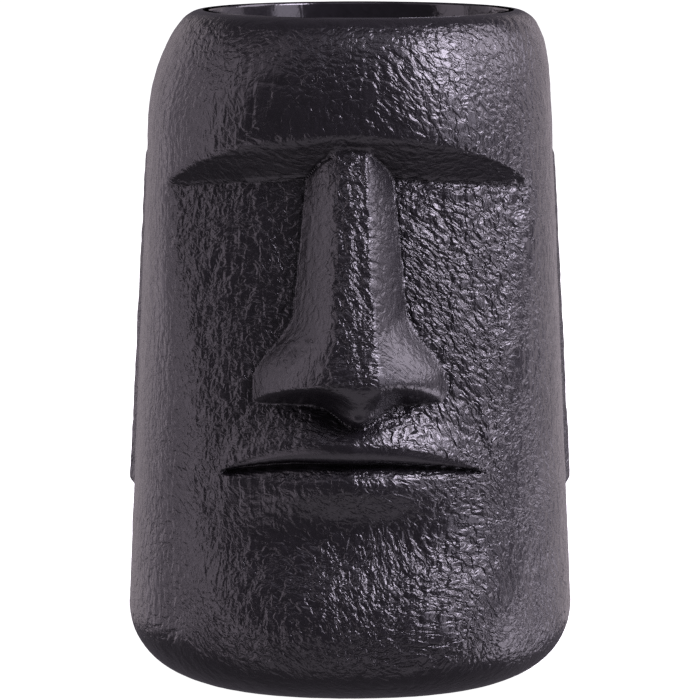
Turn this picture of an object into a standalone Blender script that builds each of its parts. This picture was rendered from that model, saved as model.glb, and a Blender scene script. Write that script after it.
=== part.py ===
# A desk pot in the shape of a moai head: one hollow casting with a carved face, two low ears, a
# rounded foot and shoulder, a thin lip and a smooth round well.
#
# +Z is up and the face looks along -Y. The origin is on the ground, in the middle of the pot's box.
# Lengths are in millimetres until the mesh is finished. The carving is worked out as "reach": how
# far the surface stands in front of the column's own axis, at a place x across and z up.

import math

import bpy

MM = 0.001

# The column
HEIGHT = 150.0
FOOT_WIDTH = 101.2
SHOULDER_WIDTH = 91.4
SHOULDER_START = 120.5
SHOULDER_RISE_POWER = 2.15
SHOULDER_SPREAD_POWER = 2.2
FOOT_ROUND = 15.0
SQUARENESS = 2.25

# The well and its lip
MOUTH_RADIUS = 34.4
WELL_FLOOR_RADIUS = 32.6
FLOOR_THICKNESS = 10.0
FLOOR_FILLET = 4.0
LIP_ROUND = 0.7
MOUTH_OFFSET = 1.9

# The face panel, which leans forward from under the brow
PANEL_TOP = 115.8
PANEL_TOP_REACH = 37.6
PANEL_LEAN = 0.185
PANEL_RADIUS = 68.0
PANEL_TURN_SOFTNESS = 4.0
PANEL_EDGE_SOFTNESS = 2.0
LOWER_FACE_SETBACK = 1.5
BROW_SLOPE = 1.18
BROW_DROOP = 0.085
BROW_SOFTNESS = 0.9
BROW_BLEND_HEIGHT = 6.0

# The nose
NOSE_ROOT = 121.5
NOSE_TIP = 72.5
NOSE_ROOT_REACH = 42.8
NOSE_TIP_REACH = 58.5
NOSE_ROOT_HALF_WIDTH = 8.9
NOSE_MIDDLE_HALF_WIDTH = 12.4
NOSE_WING_HALF_WIDTH = 21.2
NOSE_WING_START = 87.0
NOSE_WING_FULL = 71.5
NOSE_CREASE_SOFTNESS = 0.4
ROOT_FULLNESS = 0.6
ROOT_FULLNESS_SHARE = 0.35
WING_FULLNESS = 1.6
FULLNESS_POWER = 2.0
FLANK_POWER = 1.2
RIDGE_ROOT_HALF_WIDTH = 2.8
RIDGE_TIP_HALF_WIDTH = 4.4
RIDGE_ROOT_SHIFT = 1.0
RIDGE_TIP_SHIFT = 1.7
RIDGE_SOFTNESS = 1.0
FAR_RIDGE_SOFTNESS = 2.4
NOSTRIL_ARCH = 66.6
NOSTRIL_END_DROOP = 4.9
NOSTRIL_END_DROOP_POWER = 3.0
NOSTRIL_EDGE_SOFTNESS = 4.0
FAR_NOSTRIL_EDGE_SOFTNESS = 1.8
NOSTRIL_EDGE_TURN = 10.0
NOSTRIL_LEAST_HEIGHT = 0.5
TIP_SOFTNESS = 4.5
SEPTUM_FOOT = 62.2
SEPTUM_HALF_WIDTH = 10.5
SEPTUM_POWER = 1.3
SEPTUM_SHIFT = 1.6
SEPTUM_PROUD = 5.0
SEPTUM_LEDGE_SLOPE = 3.5
SEPTUM_LEDGE_SOFTNESS = 1.0

# The muzzle and the mouth
MOUTH_LINE = 51.0
MOUTH_BOW = 2.6
MOUTH_BOW_POWER = 1.6
MOUTH_SHIFT = 0.6
MOUTH_HALF_WIDTH = 28.8
SLIT_HALF_HEIGHT = 2.1
SLIT_NARROW_SHARE = 0.62
SLIT_NARROWS_FROM = -16.0
SLIT_DEPTH = 3.6
SLIT_SILL_SHARE = 0.28
SLIT_GAP_STARTS = 0.0
SLIT_GAP_FULL = 0.3
SLIT_FULL_DEPTH_OPENING = 1.2
SLIT_END_POWER = 3.0
SLIT_ROOF_POWER = 8.0
UPPER_LIP_REACH = 7.0
UPPER_LIP_TURN = 5.4
UPPER_LIP_LEAST_TURN = 0.2
UPPER_LIP_TUCK = 3.2
UPPER_LIP_TOP = 70.0
MUZZLE_TOP_HALF_WIDTH = 23.0
MUZZLE_FOOT_HALF_WIDTH = 31.0
MUZZLE_POWER = 1.2
MUZZLE_FADE_BOTTOM = 11.0
MUZZLE_FADE_TOP = 3.0
PHILTRUM_DEPTH = 2.2
PHILTRUM_TOP = 64.0
PHILTRUM_FOOT = 57.5
PHILTRUM_HALF_WIDTH = 8.0
PHILTRUM_SHIFT = -1.2
LOWER_LIP_REACH = 2.2
LOWER_LIP_FULL_HALF_WIDTH = 4.0
LOWER_LIP_HALF_WIDTH = 27.3
LOWER_LIP_ROUND = 4.0
LOWER_LIP_CREST = 3.4
LOWER_LIP_HEIGHT = 11.5

# The chin
CHIN_HOLLOW = 43.0
CHIN_HOLLOW_DEPTH = 0.4
CHIN_HOLLOW_HEIGHT = 3.6
CHIN_FULL = 15.0
CHIN_FULL_HEIGHT = 16.0
CHIN_REACH = 6.0
CHIN_HALF_WIDTH = 42.0
CHIN_LINE_LIFT = 7.0
CHIN_HOLLOW_FADES = 0.15
CHIN_HOLLOW_ENDS = 0.65
CHIN_SWELL_FADES = 0.5

# Where the column reaches less than this forward, it is side and carries no face
FACE_STARTS = 18.0
FACE_FULL = 34.0

# The ears
EAR_BOTTOM = 40.3
EAR_TOP = 119.4
EAR_FRONT = 1.5
EAR_BACK = 19.5
EAR_LOBE_BACK = 13.5
EAR_SPREAD_HEIGHT = 0.75
EAR_BOTTOM_PROUD = 1.35
EAR_TOP_PROUD = 0.6
EAR_FRONT_EDGE = 0.6
EAR_EDGE = 2.6
EAR_RIM = 4.0
EAR_RIM_SOFTNESS = 1.2
EAR_HOLLOW = 1.6
EAR_LOBE_TOP = 62.0
EAR_TOP_ROUND = 15.0
EAR_FOOT_ROUND = 5.0

# The mesh
TURN_STEPS = 300
FRONT_CROWDING = 0.45
ROW_HEIGHT = 0.6
FLAT_STEPS = 4
FOOT_STEPS = 14
SHOULDER_STEPS = 28
LIP_STEPS = 4
WALL_STEPS = 8
FILLET_STEPS = 4
FLOOR_STEPS = 3
TRIANGLES = 9400
SHARP_ANGLE = 40.0
MERGE_DISTANCE = 0.00001
WELL_TOLERANCE = 0.01


def mix(a, b, share):
    return a + (b - a) * share


def ease(value, low, high):
    """0 at low and 1 at high, held beyond both and smooth between them."""
    share = min(1.0, max(0.0, (value - low) / (high - low)))
    return share * share * (3.0 - 2.0 * share)


def soft_min(a, b, softness):
    near = max(softness - abs(a - b), 0.0) / softness
    return min(a, b) - near * near * softness / 4.0


def soft_max(a, b, softness):
    return -soft_min(-a, -b, softness)


def quarter_turns(steps, first=1):
    """Angles from the first step to a quarter turn, in radians."""
    return [math.pi / 2.0 * step / steps for step in range(first, steps + 1)]


def side_half_width(z):
    """The column's half width at height z, as if its straight side ran on past foot and shoulder."""
    share = (z - FOOT_ROUND) / (SHOULDER_START - FOOT_ROUND)
    return mix(FOOT_WIDTH, SHOULDER_WIDTH, share) / 2.0


def foot_rows():
    flat = FOOT_WIDTH / 2.0 - FOOT_ROUND
    rows = [(flat * step / FLAT_STEPS, 0.0) for step in range(FLAT_STEPS)]
    for turn in quarter_turns(FOOT_STEPS, 0):
        rows.append((flat + FOOT_ROUND * math.sin(turn), FOOT_ROUND * (1.0 - math.cos(turn))))
    return rows


def side_rows():
    count = round((SHOULDER_START - FOOT_ROUND) / ROW_HEIGHT)
    heights = [mix(FOOT_ROUND, SHOULDER_START, step / count) for step in range(1, count + 1)]
    return [(side_half_width(z), z) for z in heights]


def shoulder_rows():
    reach = SHOULDER_WIDTH / 2.0 - MOUTH_RADIUS - LIP_ROUND
    rows = []
    for turn in quarter_turns(SHOULDER_STEPS):
        up = math.sin(turn)
        inward = 1.0 - (1.0 - up ** SHOULDER_RISE_POWER) ** (1.0 / SHOULDER_SPREAD_POWER)
        rows.append((SHOULDER_WIDTH / 2.0 - reach * inward, mix(SHOULDER_START, HEIGHT, up)))
    return rows


def well_rows():
    rows = []
    for turn in quarter_turns(LIP_STEPS):
        rows.append((MOUTH_RADIUS + LIP_ROUND * (1.0 - math.sin(turn)),
                     HEIGHT - LIP_ROUND * (1.0 - math.cos(turn))))
    wall_foot = FLOOR_THICKNESS + FLOOR_FILLET
    for step in range(1, WALL_STEPS + 1):
        down = step / WALL_STEPS
        rows.append((mix(MOUTH_RADIUS, WELL_FLOOR_RADIUS, down), mix(HEIGHT - LIP_ROUND, wall_foot, down)))
    for turn in quarter_turns(FILLET_STEPS):
        rows.append((WELL_FLOOR_RADIUS - FLOOR_FILLET * (1.0 - math.cos(turn)),
                     wall_foot - FLOOR_FILLET * math.sin(turn)))
    floor_radius = WELL_FLOOR_RADIUS - FLOOR_FILLET
    for step in range(1, FLOOR_STEPS + 1):
        rows.append((floor_radius * (1.0 - step / FLOOR_STEPS), FLOOR_THICKNESS))
    return rows


def turned_blank(collection):
    """The round pot before carving: its half section, turned by a Screw modifier."""
    section = foot_rows() + side_rows() + shoulder_rows() + well_rows()
    mesh = bpy.data.meshes.new("moai_pot_section")
    points = [(radius * MM, 0.0, z * MM) for radius, z in section]
    edges = [(index, index + 1) for index in range(len(points) - 1)]
    mesh.from_pydata(points, edges, [])
    blank = bpy.data.objects.new("moai_pot", mesh)
    collection.objects.link(blank)
    screw = blank.modifiers.new("Turn", "SCREW")
    screw.steps = TURN_STEPS
    screw.render_steps = TURN_STEPS
    screw.use_merge_vertices = True
    screw.merge_threshold = MERGE_DISTANCE
    screw.use_normal_flip = True
    return blank


def panel_reach(x, z):
    """The face panel: a slightly rounded plane that leans forward and flattens below the nose."""
    upper = PANEL_TOP_REACH + PANEL_LEAN * (PANEL_TOP - z)
    lower = side_half_width(z) - LOWER_FACE_SETBACK
    sag = PANEL_RADIUS - math.sqrt(PANEL_RADIUS ** 2 - x * x)
    return soft_min(upper, lower, PANEL_TURN_SOFTNESS) - sag


def brow_reach(x, z):
    """The underside of the brow, which slopes up and forward from the panel's top edge."""
    edge = PANEL_TOP - BROW_DROOP * abs(x)
    return panel_reach(x, edge) + (z - edge) / BROW_SLOPE


def nose_half_width(z):
    """Half the nose's width where its flanks meet the face: a straight taper that flares to the wings."""
    down = (NOSE_ROOT - z) / (NOSE_ROOT - NOSE_WING_START)
    straight = mix(NOSE_ROOT_HALF_WIDTH, NOSE_MIDDLE_HALF_WIDTH, min(1.0, down))
    flare = 1.0 - ease(z, NOSE_WING_FULL, NOSE_WING_START)
    return mix(straight, NOSE_WING_HALF_WIDTH, flare)


def nose_reach(x, z, face, panel):
    """The wedge of the nose: a ridge, flanks that run down to the panel and swell, and the underside."""
    down = (NOSE_ROOT - z) / (NOSE_ROOT - NOSE_TIP)
    middle = mix(RIDGE_ROOT_SHIFT, RIDGE_TIP_SHIFT, min(1.0, down))
    ridge = mix(RIDGE_ROOT_HALF_WIDTH, RIDGE_TIP_HALF_WIDTH, down)
    room = nose_half_width(z) - ridge - math.copysign(middle, x - middle)
    across = (abs(x - middle) - ridge) / room
    top = mix(NOSE_ROOT_REACH, NOSE_TIP_REACH, down)
    flank = top - (top - panel) * math.copysign(abs(across) ** FLANK_POWER, across)
    if 0.0 < across < 1.0:
        fullness = WING_FULLNESS * (1.0 - ease(z, NOSE_WING_FULL, NOSE_WING_START))
        fullness += ROOT_FULLNESS * (1.0 - ease(down, 0.0, ROOT_FULLNESS_SHARE))
        flank += fullness * math.sin(math.pi * across ** FULLNESS_POWER)
    sharp = ease(x - middle, -ridge, ridge)
    reach = soft_min(top, flank, mix(FAR_RIDGE_SOFTNESS, RIDGE_SOFTNESS, sharp))

    off_centre = min(1.0, abs(x - SEPTUM_SHIFT) / SEPTUM_HALF_WIDTH)
    septum = 0.5 + 0.5 * math.cos(math.pi * off_centre)
    foot = mix(NOSTRIL_ARCH, SEPTUM_FOOT, septum ** SEPTUM_POWER)
    edge = NOSE_TIP - NOSTRIL_END_DROOP * (abs(x) / NOSE_WING_HALF_WIDTH) ** NOSTRIL_END_DROOP_POWER
    height = max(NOSTRIL_LEAST_HEIGHT, edge - foot)
    proud = face + SEPTUM_PROUD * septum
    under = proud + (max(0.0, reach - proud) + 1.0) * (z - foot) / height
    under = soft_min(under, face + SEPTUM_LEDGE_SLOPE * (z - foot), SEPTUM_LEDGE_SOFTNESS)
    near = ease(x, -NOSTRIL_EDGE_TURN, NOSTRIL_EDGE_TURN)
    edge_softness = mix(FAR_NOSTRIL_EDGE_SOFTNESS, NOSTRIL_EDGE_SOFTNESS, near)
    return soft_min(reach, under, mix(TIP_SOFTNESS, edge_softness, off_centre))


def muzzle_reach(x, z, across, upper_edge):
    """The grooved wedge from under the nose to the mouth, whose lower edge turns under to the slit."""
    half = mix(MUZZLE_FOOT_HALF_WIDTH, MUZZLE_TOP_HALF_WIDTH, ease(z, MOUTH_LINE, UPPER_LIP_TOP))
    window = 1.0 - min(1.0, abs(x) / half) ** MUZZLE_POWER
    middle = 1.0 - across ** MOUTH_BOW_POWER
    turn = UPPER_LIP_TURN * middle + UPPER_LIP_LEAST_TURN
    rise = 1.0 - ease(z, upper_edge + turn / 2.0, UPPER_LIP_TOP)
    fall = ease(z, MOUTH_LINE - MUZZLE_FADE_BOTTOM, MOUTH_LINE + MUZZLE_FADE_TOP)
    under = min(1.0, max(0.0, (upper_edge + turn - z) / turn))
    tuck = UPPER_LIP_TUCK * middle * (1.0 - math.sqrt(1.0 - under * under))
    groove = 1.0 - min(1.0, abs(x - PHILTRUM_SHIFT) / PHILTRUM_HALF_WIDTH) ** 2
    groove *= groove * ease(z, PHILTRUM_FOOT, PHILTRUM_TOP) * (1.0 - ease(z, UPPER_LIP_TOP, NOSE_TIP))
    return (UPPER_LIP_REACH * window * rise - tuck) * fall - PHILTRUM_DEPTH * groove


def lower_lip_reach(x, below):
    """The lower lip, from the slit's lower edge down to the hollow over the chin."""
    window = 1.0 - ease(abs(x), LOWER_LIP_FULL_HALF_WIDTH, LOWER_LIP_HALF_WIDTH)
    round_over = math.sqrt(1.0 - (1.0 - min(1.0, below / LOWER_LIP_ROUND)) ** 2)
    return LOWER_LIP_REACH * window * round_over * (1.0 - ease(below, LOWER_LIP_CREST, LOWER_LIP_HEIGHT))


def chin_reach(x, z):
    """The smile-shaped hollow under the lip and the broad swelling of the chin below it."""
    side = min(1.0, abs(x) / CHIN_HALF_WIDTH)
    hollow_line = CHIN_HOLLOW + CHIN_LINE_LIFT * side * side
    hollow = math.exp(-((z - hollow_line) / CHIN_HOLLOW_HEIGHT) ** 2)
    hollow *= 1.0 - ease(side, CHIN_HOLLOW_FADES, CHIN_HOLLOW_ENDS)
    swell = math.exp(-((z - CHIN_FULL) / CHIN_FULL_HEIGHT) ** 2)
    swell *= 1.0 - ease(side, CHIN_SWELL_FADES, 1.0)
    return CHIN_REACH * swell - CHIN_HOLLOW_DEPTH * hollow


def slit_depth(inside):
    """The slit from its lower edge, -1, to its upper edge, 1: a sloping sill, a step and a deep gap."""
    sill = SLIT_SILL_SHARE * (1.0 - min(0.0, inside) ** 2)
    gap = (1.0 - SLIT_SILL_SHARE) * ease(inside, SLIT_GAP_STARTS, SLIT_GAP_FULL)
    return SLIT_DEPTH * (sill + gap) * (1.0 - max(0.0, inside) ** SLIT_ROOF_POWER)


def mouth_reach(x, z):
    """What the muzzle, the lips, the slit between them and the chin add to the face."""
    x -= MOUTH_SHIFT
    across = min(1.0, abs(x) / MOUTH_HALF_WIDTH)
    opening = SLIT_HALF_HEIGHT * math.sqrt(1.0 - across ** SLIT_END_POWER)
    opening *= mix(1.0, SLIT_NARROW_SHARE, ease(x, SLIT_NARROWS_FROM, 0.0))
    line = MOUTH_LINE + MOUTH_BOW * (1.0 - across ** MOUTH_BOW_POWER)
    reach = muzzle_reach(x, z, across, line + opening) + chin_reach(x, z)
    below = line - opening - z
    if below > 0.0:
        reach += lower_lip_reach(x, below)
    if abs(z - line) < opening:
        reach -= slit_depth((z - line) / opening) * min(1.0, opening / SLIT_FULL_DEPTH_OPENING)
    return reach


def front_reach(x, z, column):
    """How far the carved front stands forward, where the plain column would reach to column."""
    panel = panel_reach(x, z)
    cut = soft_max(panel, brow_reach(x, z), BROW_SOFTNESS)
    under_brow = ease(z, PANEL_TOP - BROW_BLEND_HEIGHT, PANEL_TOP)
    face = soft_min(column, cut, mix(PANEL_EDGE_SOFTNESS, BROW_SOFTNESS, under_brow))
    if column > FACE_STARTS:
        lips = mouth_reach(x, z) * ease(column, FACE_STARTS, FACE_FULL)
        face += lips
        face = soft_max(face, nose_reach(x, z, face, panel + lips), NOSE_CREASE_SOFTNESS)
    return face


def ear_rise(depth, z, lost):
    """How far the ear stands out at depth behind the widest line, where the side has lost some width."""
    up = (z - EAR_BOTTOM) / (EAR_TOP - EAR_BOTTOM)
    back = mix(EAR_LOBE_BACK, EAR_BACK, ease(up, 0.0, EAR_SPREAD_HEIGHT)) - depth
    ends = soft_min(soft_min(back, EAR_TOP - z, EAR_TOP_ROUND), z - EAR_BOTTOM, EAR_FOOT_ROUND)
    inside = min(ends, depth - EAR_FRONT)
    if inside <= 0.0:
        return 0.0
    proud = mix(EAR_BOTTOM_PROUD, EAR_TOP_PROUD, up) + lost
    lobe = soft_min(inside, z - EAR_LOBE_TOP, EAR_TOP_ROUND)
    hollow = EAR_HOLLOW * ease(lobe, EAR_RIM - EAR_RIM_SOFTNESS, EAR_RIM + EAR_RIM_SOFTNESS)
    edges = ease(depth - EAR_FRONT, 0.0, EAR_FRONT_EDGE) * ease(ends, 0.0, EAR_EDGE)
    return max(0.0, proud - hollow) * edges


def carved_point(x, y, z):
    """Where a point of the turned blank's outside goes."""
    radius = math.hypot(x, y)
    angle = math.atan2(x, -y)
    angle -= FRONT_CROWDING * math.sin(angle)
    side, forward = math.sin(angle), math.cos(angle)
    square = (abs(side) ** SQUARENESS + abs(forward) ** SQUARENESS) ** (-1.0 / SQUARENESS)
    radius *= mix(square, 1.0, ease(z, SHOULDER_START, HEIGHT))
    x = radius * side
    y = -radius * forward
    if y < 0.0:
        return x, -front_reach(x, z, -y), z
    rise = ear_rise(y, z, side_half_width(z) - abs(x))
    return x + math.copysign(rise, x), y, z


def carve(blank):
    """Turns the blank's modifier into a mesh and carves its outside."""
    depsgraph = bpy.context.evaluated_depsgraph_get()
    mesh = bpy.data.meshes.new_from_object(blank.evaluated_get(depsgraph))
    mesh.name = "moai_pot"
    blank.modifiers.clear()
    blank.data = mesh
    lip_radius = MOUTH_RADIUS + LIP_ROUND + WELL_TOLERANCE
    for vertex in mesh.vertices:
        x, y, z = (value / MM for value in vertex.co)
        if math.hypot(x, y) < lip_radius and z > FLOOR_THICKNESS - WELL_TOLERANCE:
            offset = MOUTH_OFFSET
        else:
            x, y, z = carved_point(x, y, z)
            offset = MOUTH_OFFSET * ease(z, SHOULDER_START, HEIGHT) ** 2
        vertex.co = ((x + offset) * MM, y * MM, z * MM)


def thin_out(pot):
    """Brings the mesh down to its triangle budget, keeping the carved edges."""
    faces = sum(len(polygon.vertices) - 2 for polygon in pot.data.polygons)
    decimate = pot.modifiers.new("Thin out", "DECIMATE")
    decimate.ratio = TRIANGLES / faces


def stand_on_origin(pot):
    """Puts the origin on the ground at the middle of the pot's box."""
    corners = [vertex.co for vertex in pot.data.vertices]
    middle_x = (min(co.x for co in corners) + max(co.x for co in corners)) / 2.0
    middle_y = (min(co.y for co in corners) + max(co.y for co in corners)) / 2.0
    for vertex in pot.data.vertices:
        vertex.co.x -= middle_x
        vertex.co.y -= middle_y


def black_resin():
    material = bpy.data.materials.new("black_resin")
    material.use_nodes = True
    shader = material.node_tree.nodes["Principled BSDF"]
    shader.inputs["Base Color"].default_value = (0.018, 0.016, 0.018, 1.0)
    shader.inputs["Roughness"].default_value = 0.38
    shader.inputs["Metallic"].default_value = 0.0
    return material


def main():
    for leftover in list(bpy.data.objects):
        bpy.data.objects.remove(leftover)
    collection = bpy.data.collections.new("moai_pot")
    bpy.context.scene.collection.children.link(collection)
    pot = turned_blank(collection)
    carve(pot)
    stand_on_origin(pot)
    thin_out(pot)
    pot.data.materials.append(black_resin())
    pot.data.shade_smooth()
    pot.data.set_sharp_from_angle(angle=math.radians(SHARP_ANGLE))


main()
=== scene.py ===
import math

import bpy
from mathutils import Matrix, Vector


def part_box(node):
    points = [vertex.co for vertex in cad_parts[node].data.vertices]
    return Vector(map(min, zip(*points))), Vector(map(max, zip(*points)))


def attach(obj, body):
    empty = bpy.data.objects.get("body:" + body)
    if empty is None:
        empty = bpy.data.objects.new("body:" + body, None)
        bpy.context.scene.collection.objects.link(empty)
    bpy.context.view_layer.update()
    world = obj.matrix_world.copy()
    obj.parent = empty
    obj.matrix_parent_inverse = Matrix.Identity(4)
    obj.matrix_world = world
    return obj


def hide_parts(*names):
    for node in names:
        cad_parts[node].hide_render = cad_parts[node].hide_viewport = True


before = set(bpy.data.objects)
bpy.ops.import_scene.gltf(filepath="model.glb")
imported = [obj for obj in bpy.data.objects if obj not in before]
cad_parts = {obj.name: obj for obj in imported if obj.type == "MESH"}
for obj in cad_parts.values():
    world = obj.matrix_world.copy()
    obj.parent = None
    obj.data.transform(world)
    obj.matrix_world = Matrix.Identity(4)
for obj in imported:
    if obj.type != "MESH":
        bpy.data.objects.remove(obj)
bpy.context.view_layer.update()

# A desk pot in the shape of a moai head, cast in one piece. +Z is up and the face looks along -Y.
# Sizes are in millimetres and "reach" is how far a surface stands in front of the column's axis.
# Left and right are the viewer's, who faces the pot.


def mix(a, b, share):
    return a + (b - a) * share


def ease(value, start, end):  # 0 at start, 1 at end, smooth between
    share = min(1.0, max(0.0, (value - start) / (end - start)))
    return share * share * (3.0 - 2.0 * share)


def softMin(a, b, softness):  # the smaller, rounded off where the two are closer than the softness
    near = max(softness - abs(a - b), 0.0) / softness
    return min(a, b) - near * near * softness / 4.0


def quarterTurns(steps, first=1):
    return [math.pi / 2.0 * step / steps for step in range(first, steps + 1)]


column = {  # the pot before it is carved, turned from half a section
    "height": 150.0,
    "footWidth": 101.2,
    "footRound": 15.0,
    "shoulderWidth": 91.4,
    "shoulderStart": 120.5,
    "shoulderRisePower": 2.15,
    "shoulderSpreadPower": 2.2,
    "squareness": 2.25,
    "steps": 390,
    "frontCrowding": 0.6,  # how far the mesh's columns are drawn from the back to the front
    "underSteps": 4,
    "footSteps": 18,
    "shoulderSteps": 38,
    "rows": ((42.0, 0.85), (74.0, 0.45), (109.0, 0.7), (120.5, 0.45)),  # up to a height, and row spacing
    "mergeDistance": 0.001,
}

well = {
    "mouthRadius": 34.4,
    "floorRadius": 32.6,
    "floor": 10.0,
    "fillet": 4.0,
    "lipRound": 0.7,
    "offset": 1.9,
    "roundSteps": 4,
    "wallSteps": 5,
    "floorRings": (0.6, 0.25, 0.0),
    "clearance": 0.01,
}

low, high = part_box("moai_pot")
unit = (high.z - low.z) / column["height"]  # one of the pot's millimetres, in the frame's metres
axisY = high.y / unit - column["footWidth"] / 2.0


def sideHalfWidth(z):
    share = (z - column["footRound"]) / (column["shoulderStart"] - column["footRound"])
    return mix(column["footWidth"], column["shoulderWidth"], share) / 2.0


def outsideSection():
    foot = column["footRound"]
    flat = column["footWidth"] / 2.0 - foot
    points = [(flat * step / column["underSteps"], 0.0) for step in range(column["underSteps"])]
    for turn in quarterTurns(column["footSteps"], 0):
        points.append((flat + foot * math.sin(turn), foot * (1.0 - math.cos(turn))))
    start = foot
    for end, spacing in column["rows"]:
        count = round((end - start) / spacing)
        heights = [mix(start, end, step / count) for step in range(1, count + 1)]
        points += [(sideHalfWidth(z), z) for z in heights]
        start = end
    outer = column["shoulderWidth"] / 2.0
    inset = outer - well["mouthRadius"] - well["lipRound"]
    for turn in quarterTurns(column["shoulderSteps"]):
        up = math.sin(turn)
        inward = 1.0 - (1.0 - up ** column["shoulderRisePower"]) ** (1.0 / column["shoulderSpreadPower"])
        points.append((outer - inset * inward, mix(column["shoulderStart"], column["height"], up)))
    return points


def wellSection():
    wallTop = column["height"] - well["lipRound"]
    wallFoot = well["floor"] + well["fillet"]
    points = []
    for turn in quarterTurns(well["roundSteps"]):
        radius = well["mouthRadius"] + well["lipRound"] * (1.0 - math.sin(turn))
        points.append((radius, column["height"] - well["lipRound"] * (1.0 - math.cos(turn))))
    for step in range(1, well["wallSteps"] + 1):
        share = step / well["wallSteps"]
        radius = mix(well["mouthRadius"], well["floorRadius"], share)
        points.append((radius, mix(wallTop, wallFoot, share)))
    for turn in quarterTurns(well["roundSteps"]):
        radius = well["floorRadius"] - well["fillet"] * (1.0 - math.cos(turn))
        points.append((radius, wallFoot - well["fillet"] * math.sin(turn)))
    floorRadius = well["floorRadius"] - well["fillet"]
    points += [(floorRadius * share, well["floor"]) for share in well["floorRings"]]
    return points


def deselectAll():
    for thing in list(bpy.context.selected_objects):
        thing.select_set(False)


def turnColumn(name):
    deselectAll()
    section = outsideSection() + wellSection()
    bpy.ops.mesh.primitive_plane_add(size=1.0, location=(0.0, 0.0, 0.0))
    pot = bpy.context.active_object
    pot.name = name
    pot.data.name = name
    bpy.ops.object.mode_set(mode="EDIT")
    bpy.ops.mesh.merge(type="CENTER")  # one point, on the axis, under the foot
    for (radius, z), (nextRadius, nextZ) in zip(section, section[1:]):
        stride = (nextRadius - radius, 0.0, nextZ - z)
        bpy.ops.mesh.extrude_region_move(TRANSFORM_OT_translate={"value": stride})
    bpy.ops.object.mode_set(mode="OBJECT")
    turn = pot.modifiers.new("turn", "SCREW")
    turn.steps = column["steps"]
    turn.render_steps = column["steps"]
    turn.use_merge_vertices = True
    turn.merge_threshold = column["mergeDistance"]
    bpy.ops.object.modifier_apply(modifier="turn")
    bpy.ops.object.mode_set(mode="EDIT")
    bpy.ops.mesh.select_all(action="SELECT")
    bpy.ops.mesh.remove_doubles(threshold=column["mergeDistance"])
    bpy.ops.mesh.normals_make_consistent(inside=False)
    bpy.ops.mesh.select_all(action="DESELECT")
    bpy.ops.object.mode_set(mode="OBJECT")
    return pot


face = {  # the flattened panel under the brow
    "top": 115.8,
    "topReach": 37.6,
    "lean": 0.185,
    "radius": 68.0,
    "turnSoftness": 4.0,
    "edgeSoftness": 2.0,
    "lowerSetback": 1.5,
    "browSlope": 1.18,
    "browDroop": 0.085,
    "browSoftness": 0.9,
    "browBlend": 6.0,
    "creaseWidth": 0.8,
    "creaseDepth": 0.35,
    "panelFrom": -0.5,  # how far the panel is cut in where it counts as panel, from nothing to wholly
    "panelFull": 1.0,
    "starts": 18.0,
    "full": 34.0,
}


def panelReach(x, z):
    upper = face["topReach"] + face["lean"] * (face["top"] - z)
    lower = sideHalfWidth(z) - face["lowerSetback"]
    sag = face["radius"] - math.sqrt(face["radius"] ** 2 - x * x)
    return softMin(upper, lower, face["turnSoftness"]) - sag


def browReach(x, z):
    edge = face["top"] - face["browDroop"] * abs(x)
    return panelReach(x, edge) + (z - edge) / face["browSlope"]


nose = {
    "root": 121.5,
    "tip": 72.5,
    "rootReach": 42.8,
    "tipReach": 58.5,
    "rootHalfWidth": 8.9,
    "middleHalfWidth": 12.4,
    "wingHalfWidth": 21.2,
    "wingStart": 87.0,
    "wingFull": 71.5,
    "wingFullness": 1.0,
    "rootFullness": 0.6,
    "rootFullnessEnds": 0.35,
    "flankPower": 1.2,
    "wingPower": 2.0,
    "ridgeRoot": 2.8,
    "ridgeTip": 4.4,
    "ridgeRootShift": 1.0,
    "ridgeTipShift": 1.7,
    "topTurn": 0.11,
    "ridgeSoftness": 0.3,
    "farRidgeSoftness": 2.4,
    "creaseWidth": 0.9,
    "creaseDepth": 0.5,
    "arch": 66.6,
    "endDroop": 4.9,
    "endDroopPower": 3.0,
    "edgeSoftness": 4.0,
    "farEdgeSoftness": 1.8,
    "edgeTurn": 10.0,
    "tipSoftness": 4.5,
    "septumFoot": 62.2,
    "septumHalfWidth": 10.5,
    "septumPower": 1.3,
    "septumShift": 1.6,
    "septumProud": 5.0,
    "septumLedge": 3.5,
    "septumSoftness": 1.0,
    "underPast": 1.0,
    "underLeastHeight": 0.5,
    "smoothLeft": 0.65,
    "smoothLeftFrom": 0.0,
    "smoothLeftFull": 0.3,
    "smoothRight": 0.8,
    "smoothRightFrom": -0.15,
    "smoothRightFull": 0.05,
    "smoothUnder": 0.88,
    "smoothUnderFrom": -2.5,
    "smoothUnderFull": 0.5,
    "proudFrom": -0.2,  # how far it stands out where it counts as nose, from nothing to wholly
    "proudFull": 1.2,
}


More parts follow.
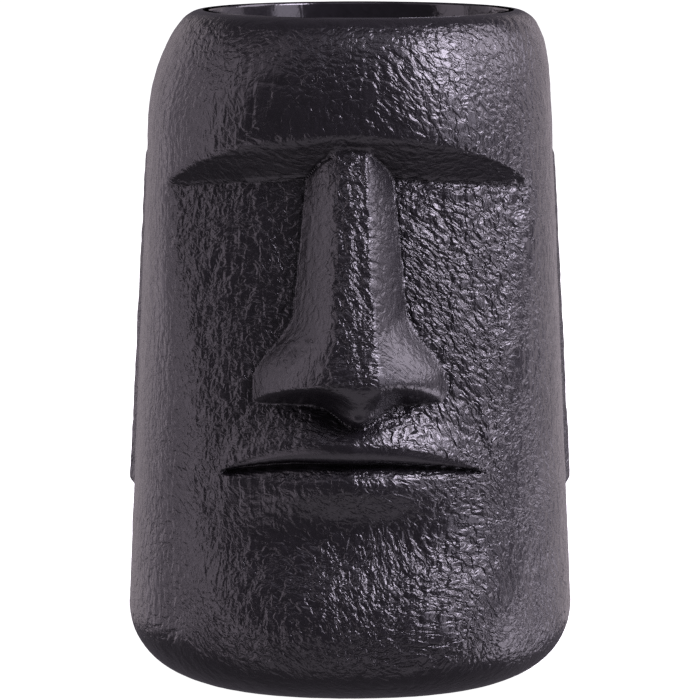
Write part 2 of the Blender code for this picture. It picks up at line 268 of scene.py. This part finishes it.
def noseReach(x, z, behind, panel):  # the nose's reach, and how smooth the surface is left there
    down = (nose["root"] - z) / (nose["root"] - nose["tip"])
    flare = 1.0 - ease(z, nose["wingFull"], nose["wingStart"])
    straight = min(1.0, (nose["root"] - z) / (nose["root"] - nose["wingStart"]))
    halfWidth = mix(nose["rootHalfWidth"], nose["middleHalfWidth"], straight)
    halfWidth = mix(halfWidth, nose["wingHalfWidth"], flare)
    middle = mix(nose["ridgeRootShift"], nose["ridgeTipShift"], min(1.0, down))
    ridge = mix(nose["ridgeRoot"], nose["ridgeTip"], down)
    across = (abs(x - middle) - ridge) / (halfWidth - ridge - math.copysign(middle, x - middle))
    onRight = ease(x - middle, -ridge, ridge)

    top = mix(nose["rootReach"], nose["tipReach"], down) - nose["topTurn"] * (x - middle)
    flank = top - (top - panel) * math.copysign(abs(across) ** nose["flankPower"], across)
    if 0.0 < across < 1.0:
        atRoot = 1.0 - ease(down, 0.0, nose["rootFullnessEnds"])
        fullness = nose["wingFullness"] * flare + nose["rootFullness"] * atRoot
        flank += fullness * math.sin(math.pi * across ** nose["wingPower"])
    reach = softMin(top, flank, mix(nose["farRidgeSoftness"], nose["ridgeSoftness"], onRight))

    offCentre = min(1.0, abs(x - nose["septumShift"]) / nose["septumHalfWidth"])
    septum = 0.5 + 0.5 * math.cos(math.pi * offCentre)
    foot = mix(nose["arch"], nose["septumFoot"], septum ** nose["septumPower"])
    edge = nose["tip"] - nose["endDroop"] * (abs(x) / nose["wingHalfWidth"]) ** nose["endDroopPower"]
    proud = nose["septumProud"] * septum
    run = max(0.0, reach - behind - proud) + nose["underPast"]
    under = behind + proud + run * (z - foot) / max(nose["underLeastHeight"], edge - foot)
    under = softMin(under, behind + nose["septumLedge"] * (z - foot), nose["septumSoftness"])
    atWing = ease(x, -nose["edgeTurn"], nose["edgeTurn"])
    softness = mix(nose["farEdgeSoftness"], nose["edgeSoftness"], atWing)
    softness = mix(nose["tipSoftness"], softness, offCentre)

    smoothFrom = mix(nose["smoothLeftFrom"], nose["smoothRightFrom"], onRight)
    smoothFull = mix(nose["smoothLeftFull"], nose["smoothRightFull"], onRight)
    smooth = mix(nose["smoothLeft"], nose["smoothRight"], onRight) * ease(across, smoothFrom, smoothFull)
    onUnderside = ease(reach - under, nose["smoothUnderFrom"], nose["smoothUnderFull"])
    smooth = max(smooth, nose["smoothUnder"] * onUnderside)
    return softMin(reach, under, softness), smooth


mouth = {
    "line": 51.0,
    "bow": 2.6,
    "bowPower": 1.6,
    "shift": 0.6,
    "halfWidth": 28.8,
    "slitHalfHeight": 2.1,
    "slitPower": 3,
    "slitNarrow": 0.62,
    "slitNarrows": 16.0,
    "slitDepth": 3.6,
    "slitFullAt": 1.2,
    "slitLeastHeight": 0.01,
    "slitSmoothFrom": -0.6,
    "slitSmoothFull": 0.1,
    "sillShare": 0.28,
    "sillStep": 0.3,
    "roofPower": 8,
}

muzzle = {  # the upper lip and what it grows from
    "reach": 7.4,
    "top": 70.0,
    "topHalfWidth": 23.0,
    "footHalfWidth": 31.0,
    "power": 1.15,
    "turn": 5.4,
    "leastTurn": 0.2,
    "tuck": 3.2,
    "tuckSmoothFull": 0.4,
    "cornerSmoothFull": 0.3,
    "fadeTop": 3.0,
    "fadeFoot": 17.0,
    "sideFadeFoot": 24.0,
    "sideStarts": 8.0,
    "sideFull": 24.0,
    "groove": 2.2,
    "grooveTop": 64.0,
    "grooveFoot": 57.5,
    "grooveHalfWidth": 8.0,
    "grooveShift": -1.2,
}

lowerLip = {
    "reach": 1.7,
    "fullHalfWidth": 4.0,
    "halfWidth": 27.3,
    "round": 4.0,
    "crest": 3.4,
    "height": 12.5,
    "calmFrom": 10.5,
    "calmTo": 17.5,
    "calmFades": 0.5,
    "calmEnds": 0.9,
}

chin = {
    "full": 19.0,
    "fullHeight": 14.0,
    "reach": 6.6,
    "halfWidth": 40.0,
    "power": 3,
    "hollow": 43.0,
    "hollowDepth": 0.4,
    "hollowHeight": 4.6,
    "hollowFades": 0.15,
    "hollowEnds": 0.65,
    "hollowSmooth": 0.6,
    "lineLift": 6.5,
}


def muzzleReach(x, z, lipLine, middle):  # and how smooth the surface is left there
    half = mix(muzzle["footHalfWidth"], muzzle["topHalfWidth"], ease(z, mouth["line"], muzzle["top"]))
    window = 1.0 - min(1.0, abs(x) / half) ** muzzle["power"]
    turn = muzzle["turn"] * middle + muzzle["leastTurn"]
    rise = 1.0 - ease(z, lipLine + turn / 2.0, muzzle["top"])
    atSide = ease(abs(x), muzzle["sideStarts"], muzzle["sideFull"])
    fadeFoot = mix(muzzle["fadeFoot"], muzzle["sideFadeFoot"], atSide)
    fall = ease(z, mouth["line"] - fadeFoot, mouth["line"] + muzzle["fadeTop"])
    under = min(1.0, max(0.0, (lipLine + turn - z) / turn))
    tuck = muzzle["tuck"] * middle * (1.0 - math.sqrt(1.0 - under * under))
    groove = 1.0 - min(1.0, abs(x - muzzle["grooveShift"]) / muzzle["grooveHalfWidth"]) ** 2
    groove *= groove * ease(z, muzzle["grooveFoot"], muzzle["grooveTop"])
    groove *= 1.0 - ease(z, muzzle["top"], nose["tip"])
    smooth = ease(under, 0.0, muzzle["tuckSmoothFull"]) * ease(middle, 0.0, muzzle["cornerSmoothFull"])
    return (muzzle["reach"] * window * rise - tuck) * fall - muzzle["groove"] * groove, smooth


def chinReach(side, z):  # and how smooth the surface is left there
    hollowLine = chin["hollow"] + chin["lineLift"] * side * side
    hollow = math.exp(-((z - hollowLine) / chin["hollowHeight"]) ** 2)
    hollow *= 1.0 - ease(side, chin["hollowFades"], chin["hollowEnds"])
    swell = math.exp(-((z - chin["full"]) / chin["fullHeight"]) ** 2) * (1.0 - side ** chin["power"])
    return chin["reach"] * swell - chin["hollowDepth"] * hollow, chin["hollowSmooth"] * hollow


def lowerLipReach(x, side, below):  # and how smooth the surface is left there
    calm = 1.0 - ease(below, lowerLip["calmFrom"], lowerLip["calmTo"])
    calm *= 1.0 - ease(side, lowerLip["calmFades"], lowerLip["calmEnds"])
    window = 1.0 - ease(abs(x), lowerLip["fullHalfWidth"], lowerLip["halfWidth"])
    roundOver = math.sqrt(1.0 - (1.0 - min(1.0, below / lowerLip["round"])) ** 2)
    fade = 1.0 - ease(below, lowerLip["crest"], lowerLip["height"])
    return lowerLip["reach"] * window * roundOver * fade, (1.0 - relief["lowerLipStrength"]) * calm


def slitDepth(inside, opening):  # a low sill in front and the gap behind it
    sill = mouth["sillShare"] * (1.0 - min(0.0, inside) ** 2)
    gap = (1.0 - mouth["sillShare"]) * ease(inside, 0.0, mouth["sillStep"])
    roof = 1.0 - max(0.0, inside) ** mouth["roofPower"]
    return mouth["slitDepth"] * (sill + gap) * roof * min(1.0, opening / mouth["slitFullAt"])


def mouthReach(x, z):  # what the mouth and chin add, and how smooth the surface is left there
    x -= mouth["shift"]
    across = min(1.0, abs(x) / mouth["halfWidth"])
    middle = 1.0 - across ** mouth["bowPower"]
    opening = mouth["slitHalfHeight"] * math.sqrt(1.0 - across ** mouth["slitPower"])
    opening *= mix(1.0, mouth["slitNarrow"], ease(x, -mouth["slitNarrows"], 0.0))
    line = mouth["line"] + mouth["bow"] * middle
    side = min(1.0, abs(x) / chin["halfWidth"])

    reach, tuckSmooth = muzzleReach(x, z, line + opening, middle)
    swell, smooth = chinReach(side, z)
    reach += swell
    if z > line:
        smooth = max(smooth, tuckSmooth)
    below = line - opening - z
    if below > 0.0:
        lip, lipSmooth = lowerLipReach(x, side, below)
        reach += lip
        smooth = max(smooth, lipSmooth)
    inside = (z - line) / max(opening, mouth["slitLeastHeight"])
    if abs(inside) < 1.0:
        reach -= slitDepth(inside, opening)
        smooth = max(smooth, ease(inside, mouth["slitSmoothFrom"], mouth["slitSmoothFull"]))
    return reach, smooth


relief = {  # how strong the wrinkles are in each region, and the ones that are wide enough for the mesh
    "browStrength": 0.50,
    "underBrowStrength": 0.20,
    "underBrowStep": 1.5,
    "muzzleStrength": 0.72,
    "muzzleFrom": 0.5,
    "muzzleFull": 2.5,
    "muzzleRise": 4.0,
    "lowerLipStrength": 0.50,
    "backStrength": 0.70,
    "leftStrength": 0.90,
    "leftFrom": 10.0,  # the left side's finish blends in between these two places
    "leftFull": -16.0,
    "footStrength": 0.3,
    "footFull": 3.0,
    "footEnds": 14.0,
    "rimFrom": 148.0,
    "rimFull": 149.8,
    "lumps": {"noise_type": "SOFT_NOISE", "noise_scale": 0.0060, "depth": 0.00040},
    "creases": {"noise_type": "SOFT_NOISE", "noise_scale": 0.0024, "depth": 0.00042},
}


def grooveDepth(gap, width, depth):  # a fine groove where two surfaces meet
    near = max(0.0, 1.0 - abs(gap) / width)
    return depth * near * near


def frontReach(x, z, outer):  # the carved front's reach, and how wrinkled it is there
    panel = panelReach(x, z)
    brow = browReach(x, z)
    cut = max(panel, brow) - grooveDepth(brow - panel, face["creaseWidth"], face["creaseDepth"])
    underBrow = ease(z, face["top"] - face["browBlend"], face["top"])
    reach = softMin(outer, cut, mix(face["edgeSoftness"], face["browSoftness"], underBrow))
    onPanel = ease(outer - cut, face["panelFrom"], face["panelFull"])
    onBrowSlope = ease(brow - panel, 0.0, relief["underBrowStep"]) * onPanel
    wrinkled = mix(relief["browStrength"], 1.0, onPanel)
    wrinkled *= mix(1.0, relief["underBrowStrength"], onBrowSlope)
    if outer > face["starts"]:
        share = ease(outer, face["starts"], face["full"])
        lips, smooth = mouthReach(x, z)
        onMuzzle = ease(lips, relief["muzzleFrom"], relief["muzzleFull"])
        onMuzzle *= ease(z, mouth["line"], mouth["line"] + relief["muzzleRise"])
        wrinkled *= mix(1.0, relief["muzzleStrength"], onMuzzle)
        wrinkled = min(wrinkled, 1.0 - smooth * share)
        reach += lips * share
        ridge, smooth = noseReach(x, z, reach, panel + lips * share)
        wrinkled = mix(wrinkled, 1.0 - smooth, ease(ridge - reach, nose["proudFrom"], nose["proudFull"]))
        reach = max(reach, ridge) - grooveDepth(ridge - reach, nose["creaseWidth"], nose["creaseDepth"])
    return reach, wrinkled


ear = {
    "bottom": 40.3,
    "top": 119.4,
    "front": 1.5,
    "back": 19.5,
    "lobeBack": 13.5,
    "bottomProud": 1.35,
    "topProud": 0.6,
    "frontEdge": 0.6,
    "edge": 2.6,
    "rim": 4.0,
    "rimSoftness": 1.2,
    "hollow": 1.6,
    "lobeTop": 62.0,
    "lobeEnds": 0.75,
    "topRound": 15.0,
    "footRound": 5.0,
}


def earRise(depth, z, lost):  # lost is what the column's round plan takes away there
    up = (z - ear["bottom"]) / (ear["top"] - ear["bottom"])
    back = mix(ear["lobeBack"], ear["back"], ease(up, 0.0, ear["lobeEnds"])) - depth
    ends = softMin(softMin(back, ear["top"] - z, ear["topRound"]), z - ear["bottom"], ear["footRound"])
    inside = min(ends, depth - ear["front"])
    if inside <= 0.0:
        return 0.0
    lobe = softMin(inside, z - ear["lobeTop"], ear["topRound"])
    hollow = ear["hollow"] * ease(lobe, ear["rim"] - ear["rimSoftness"], ear["rim"] + ear["rimSoftness"])
    proud = max(0.0, mix(ear["bottomProud"], ear["topProud"], up) + lost - hollow)
    return proud * ease(depth - ear["front"], 0.0, ear["frontEdge"]) * ease(ends, 0.0, ear["edge"])


def carvedPoint(x, y, z):  # where a point of the turned column goes, and how wrinkled it is there
    radius = math.hypot(x, y)
    angle = math.atan2(x, -y)
    angle -= column["frontCrowding"] * math.sin(angle)
    side, forward = math.sin(angle), math.cos(angle)
    power = column["squareness"]
    square = (abs(side) ** power + abs(forward) ** power) ** (-1.0 / power)
    radius *= mix(square, 1.0, ease(z, column["shoulderStart"], column["height"]))
    x, y = radius * side, -radius * forward
    if y < 0.0:
        reach, wrinkled = frontReach(x, z, -y)
        onRight = ease(x, relief["leftFull"], relief["leftFrom"])
        return x, -reach, wrinkled * mix(relief["leftStrength"], 1.0, onRight)
    return x + math.copysign(earRise(y, z, sideHalfWidth(z) - abs(x)), x), y, relief["backStrength"]


def carve(pot):
    mesh = pot.data
    lipRadius = well["mouthRadius"] + well["lipRound"] + well["clearance"]
    wrinkles, gloss = [], []
    for vertex in mesh.vertices:
        x, y, z = vertex.co
        if math.hypot(x, y) < lipRadius and z > well["floor"] - well["clearance"]:
            offset, wrinkled, glossy = well["offset"], 0.0, 1.0
        else:
            x, y, wrinkled = carvedPoint(x, y, z)
            offset = well["offset"] * ease(z, column["shoulderStart"], column["height"]) ** 2
            wrinkled *= mix(relief["footStrength"], 1.0, ease(z, relief["footFull"], relief["footEnds"]))
            wrinkled *= 1.0 - ease(z, relief["rimFrom"], relief["rimFull"])
            glossy = 0.0
        vertex.co = ((x + offset) * unit, (y + axisY) * unit, z * unit)
        wrinkles.append(wrinkled)
        gloss.append(glossy)
    for name, values in (("wrinkles", wrinkles), ("gloss", gloss)):
        mesh.attributes.new(name, "FLOAT", "POINT")
        mesh.attributes[name].data.foreach_set("value", values)
    group = pot.vertex_groups.new(name="wrinkled")
    for index, wrinkled in enumerate(wrinkles):
        group.add([index], wrinkled, "REPLACE")


def addRelief(pot, name, sizes):
    texture = bpy.data.textures.new(name, type="CLOUDS")
    texture.noise_type = sizes["noise_type"]
    texture.noise_scale = sizes["noise_scale"]
    texture.noise_depth = 1
    bulge = pot.modifiers.new(name, "DISPLACE")
    bulge.texture = texture
    bulge.texture_coords = "LOCAL"
    bulge.strength = sizes["depth"]
    bulge.mid_level = 0.5
    bulge.vertex_group = "wrinkled"
    bpy.ops.object.modifier_apply(modifier=name)


class Wire:  # a shader value: sums on it add Math nodes
    def __init__(self, tree, socket=None):
        self.tree = tree
        self.socket = socket

    def node(self, kind, settings=None, inputs=None, output=0):
        made = self.tree.nodes.new(kind)
        for name, value in (settings or {}).items():
            setattr(made, name, value)
        for name, value in (inputs or {}).items():
            if isinstance(value, Wire):
                self.tree.links.new(value.socket, made.inputs[name])
            else:
                made.inputs[name].default_value = value
        return Wire(self.tree, made.outputs[output])

    def maths(self, operation, first, second=0.0, clamp=False):
        settings = {"operation": operation, "use_clamp": clamp}
        return self.node("ShaderNodeMath", settings, {0: first, 1: second})

    def __add__(self, other):
        return self.maths("ADD", self, other)

    __radd__ = __add__

    def __sub__(self, other):
        return self.maths("SUBTRACT", self, other)

    def __rsub__(self, other):
        return self.maths("SUBTRACT", other, self)

    def __mul__(self, other):
        return self.maths("MULTIPLY", self, other)

    __rmul__ = __mul__

    def clamped(self):
        return self.maths("ADD", self, 0.0, clamp=True)


resin = {
    "dark": (0.0030, 0.0027, 0.0034, 1.0),
    "light": (0.0120, 0.0108, 0.0130, 1.0),
    "patchScale": 0.35,
    "patchTone": 0.4,
    # painted shade: how much darker the base colour is in the creases of the wrinkles
    "paintedCreaseShade": 0.8,
    "toneShift": 0.1,
    "roughness": 0.28,
    "roughnessSpread": 0.10,
    "wellRoughness": 0.14,
    "ior": 1.5,
    "flowScale": 0.06,
    "flowReach": 10.0,
    "wrinkleTurn": 32.0,
    "wrinkleLength": 1.4,
    "wrinkleScale": 0.66,
    "wrinkleTwist": 0.5,
    "wrinkleShare": 0.62,
    "leftWrinkleShare": 0.40,
    "creaseLow": 0.27,
    "creaseHigh": 0.66,
    "strandScale": (0.62, 0.62, 0.16),
    "strandShare": 0.40,
    "leftStrandShare": 0.75,
    "grainScale": 3.0,
    "grainShare": 0.07,
    "leastStrength": 0.06,
    "depth": 0.00062,
}


def smoothStep(start, value, zeroAt, oneAt):
    sockets = {"Value": value, "From Min": zeroAt, "From Max": oneAt}
    return start.node("ShaderNodeMapRange", {"interpolation_type": "SMOOTHSTEP"}, sockets)


def noise(start, vector, scale, detail=1.0, twist=0.0, output=0):
    sockets = {"Vector": vector, "Scale": scale, "Detail": detail, "Distortion": twist}
    return start.node("ShaderNodeTexNoise", {}, sockets, output)


def resinMaterial(name):
    material = bpy.data.materials.new(name)
    material.use_nodes = True
    tree = material.node_tree
    shader = tree.nodes["Principled BSDF"]
    start = Wire(tree)
    place = start.node("ShaderNodeTexCoord", output="Object")
    scaled = {0: place, "Scale": 1.0 / unit}
    millimetres = start.node("ShaderNodeVectorMath", {"operation": "SCALE"}, scaled)
    wrinkled = start.node("ShaderNodeAttribute", {"attribute_name": "wrinkles"}, output="Fac")
    glossy = start.node("ShaderNodeAttribute", {"attribute_name": "gloss"}, output="Fac")

    # the wrinkles are combed to one side, along a slowly wandering direction
    flow = noise(start, millimetres, resin["flowScale"], detail=0.0, output="Color")
    wander = {0: flow, 1: (resin["flowReach"],) * 3, 2: millimetres}
    drift = start.node("ShaderNodeVectorMath", {"operation": "MULTIPLY_ADD"}, wander)
    comb = {
        "Vector": drift,
        "Rotation": (0.0, math.radians(resin["wrinkleTurn"]), 0.0),
        "Scale": (resin["wrinkleLength"], 1.0, 1.0),
    }
    combed = start.node("ShaderNodeMapping", {"vector_type": "TEXTURE"}, comb)
    wrinkles = noise(start, combed, resin["wrinkleScale"], detail=2.0, twist=resin["wrinkleTwist"])
    worn = smoothStep(start, wrinkles, resin["creaseLow"], resin["creaseHigh"])

    upright = {0: millimetres, 1: resin["strandScale"]}
    stretched = start.node("ShaderNodeVectorMath", {"operation": "MULTIPLY"}, upright)
    strands = noise(start, stretched, 1.0, twist=resin["wrinkleTwist"])
    grain = noise(start, millimetres, resin["grainScale"])

    across = start.node("ShaderNodeSeparateXYZ", {}, {0: millimetres}, "X")
    onLeft = smoothStep(start, across, relief["leftFrom"], relief["leftFull"])
    strandShare = resin["strandShare"] + onLeft * (resin["leftStrandShare"] - resin["strandShare"])
    wrinkleShare = resin["wrinkleShare"] + onLeft * (resin["leftWrinkleShare"] - resin["wrinkleShare"])
    height = worn * wrinkleShare + strands * strandShare + grain * resin["grainShare"]
    height = height * (wrinkled * (1.0 - resin["leastStrength"]) + resin["leastStrength"])
    raised = {"Height": height, "Strength": 1.0, "Distance": resin["depth"]}
    bump = start.node("ShaderNodeBump", {}, raised, "Normal")
    tree.links.new(bump.socket, shader.inputs["Normal"])

    patches = noise(start, millimetres, resin["patchScale"])
    # base colour: patchy tone that differs at random, plus painted shade that darkens the wrinkles'
    # creases
    tone = patches * resin["patchTone"] + wrinkles * resin["paintedCreaseShade"] - resin["toneShift"]
    tints = {"Factor": tone.clamped(), "A": resin["dark"], "B": resin["light"]}
    colour = start.node("ShaderNodeMix", {"data_type": "RGBA"}, tints, "Result")
    tree.links.new(colour.socket, shader.inputs["Base Color"])

    rough = resin["roughness"] + resin["roughnessSpread"] * (grain - 0.5) * 2.0
    rough = rough * (1.0 - glossy) + resin["wellRoughness"] * glossy
    tree.links.new(rough.socket, shader.inputs["Roughness"])
    shader.inputs["IOR"].default_value = resin["ior"]
    return material


def castPot(name):
    pot = turnColumn(name)
    print("turned:", len(pot.data.vertices), "points")
    carve(pot)
    print("carved")
    for title in ("lumps", "creases"):
        addRelief(pot, title, relief[title])
    pot.data.materials.append(resinMaterial("black_resin_finish"))
    deselectAll()
    pot.select_set(True)
    bpy.context.view_layer.objects.active = pot
    bpy.ops.object.shade_smooth()
    print("finished:", sum(len(polygon.vertices) - 2 for polygon in pot.data.polygons), "triangles")
    return pot


casting = castPot("moai_casting")
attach(casting, "root")
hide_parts("moai_pot")


studio = {  # in metres and degrees
    "cameraDistance": 0.881,
    "cameraHeight": 0.197,
    "cameraPitch": 8.05,
    "lens": 200.47,
    "sensor": 36.0,
    "floorSize": 16.0,
    "floorTone": 0.8,
    "floorRoughness": 0.9,
    "floorGlow": 1.0,
    "worldColour": (0.93, 0.84, 1.0, 1.0),
    "worldStrength": 0.15,
    "tints": {
        "lilac": (0.90, 0.82, 1.0),
        "frost": (0.90, 0.83, 1.0),
        "pale": (0.93, 0.84, 1.0),
        "paler": (0.95, 0.85, 1.0),
        "haze": (0.96, 0.86, 1.0),
        "mauve": (0.97, 0.84, 1.0),
        "rose": (1.0, 0.87, 0.93),
    },
    "panels": (  # name, azimuth (0 in front), elevation, distance, width, height, watts and tint
        ("keyHigh", 57.0, 35.0, 1.0, 0.36, 0.42, 13.4, "lilac"),
        ("keyLow", 59.0, 5.0, 1.0, 0.4, 0.6, 2.5, "lilac"),
        ("side", 97.0, 33.0, 1.0, 0.5, 0.7, 6.3, "pale"),
        ("lowRight", 98.0, -26.0, 1.0, 0.8, 0.4, 3.8, "pale"),
        ("right", 116.0, 0.0, 1.1, 0.6, 0.8, 1.3, "paler"),
        ("left", -80.0, 12.0, 1.0, 0.5, 1.1, 3.0, "mauve"),
        ("highLeft", -54.0, 46.0, 1.0, 0.4, 0.4, 0.4, "mauve"),
        ("farLeft", -118.0, 8.0, 1.1, 0.8, 1.1, 2.2, "mauve"),
        ("lowLeft", -60.0, -24.0, 1.0, 0.8, 0.4, 1.6, "mauve"),
        ("front", 4.0, 57.0, 1.0, 0.6, 0.4, 1.1, "frost"),
        ("bounce", 0.0, -59.0, 0.8, 1.2, 0.5, 1.4, "haze"),
        ("backRight", 148.0, 5.0, 1.2, 0.8, 1.0, 1.8, "rose"),
        ("backLeft", -146.0, 5.0, 1.2, 0.8, 1.0, 1.4, "rose"),
    ),
}


def addCamera():
    place = (0.0, axisY * unit - studio["cameraDistance"], studio["cameraHeight"])
    turn = (math.radians(90.0 - studio["cameraPitch"]), 0.0, 0.0)
    bpy.ops.object.camera_add(location=place, rotation=turn)
    camera = bpy.context.active_object
    camera.name = "camera"
    camera.data.lens = studio["lens"]
    camera.data.sensor_width = studio["sensor"]
    bpy.context.scene.camera = camera


def addFloor():
    bpy.ops.mesh.primitive_plane_add(size=studio["floorSize"], location=(0.0, 0.0, 0.0))
    floor = bpy.context.active_object
    floor.name = "floor"
    material = bpy.data.materials.new("pale_floor")
    material.use_nodes = True
    shader = material.node_tree.nodes["Principled BSDF"]
    shader.inputs["Base Color"].default_value = (studio["floorTone"],) * 3 + (1.0,)
    shader.inputs["Roughness"].default_value = studio["floorRoughness"]
    shader.inputs["Specular IOR Level"].default_value = 0.0
    shader.inputs["Emission Color"].default_value = (1.0, 1.0, 1.0, 1.0)
    shader.inputs["Emission Strength"].default_value = studio["floorGlow"]
    floor.data.materials.append(material)
    floor.visible_glossy = False  # so that the low panels light the pot from below
    floor.visible_diffuse = False
    floor.visible_shadow = False


def lightWorld():
    world = bpy.data.worlds.new("studio")
    bpy.context.scene.world = world
    world.use_nodes = True
    background = world.node_tree.nodes["Background"]
    background.inputs["Color"].default_value = studio["worldColour"]
    background.inputs["Strength"].default_value = studio["worldStrength"]


def addPanel(name, azimuth, elevation, distance, width, height, power, tint):
    target = Vector((0.0, 0.0, (high.z + low.z) / 2.0))
    turn, rise = math.radians(azimuth), math.radians(elevation)
    away = Vector((math.sin(turn) * math.cos(rise), -math.cos(turn) * math.cos(rise), math.sin(rise)))
    bpy.ops.object.light_add(type="AREA", location=target + away * distance)
    panel = bpy.context.active_object
    panel.name = name
    panel.rotation_euler = away.to_track_quat("Z", "Y").to_euler()
    panel.data.shape = "RECTANGLE"
    panel.data.size = width
    panel.data.size_y = height
    panel.data.energy = power
    panel.data.color = studio["tints"][tint]
    panel.visible_camera = False


addCamera()
addFloor()
lightWorld()
for panel in studio["panels"]:
    addPanel(*panel)
print("lit by", len(studio["panels"]), "panels")
bpy.context.scene.view_settings.view_transform = "Standard"
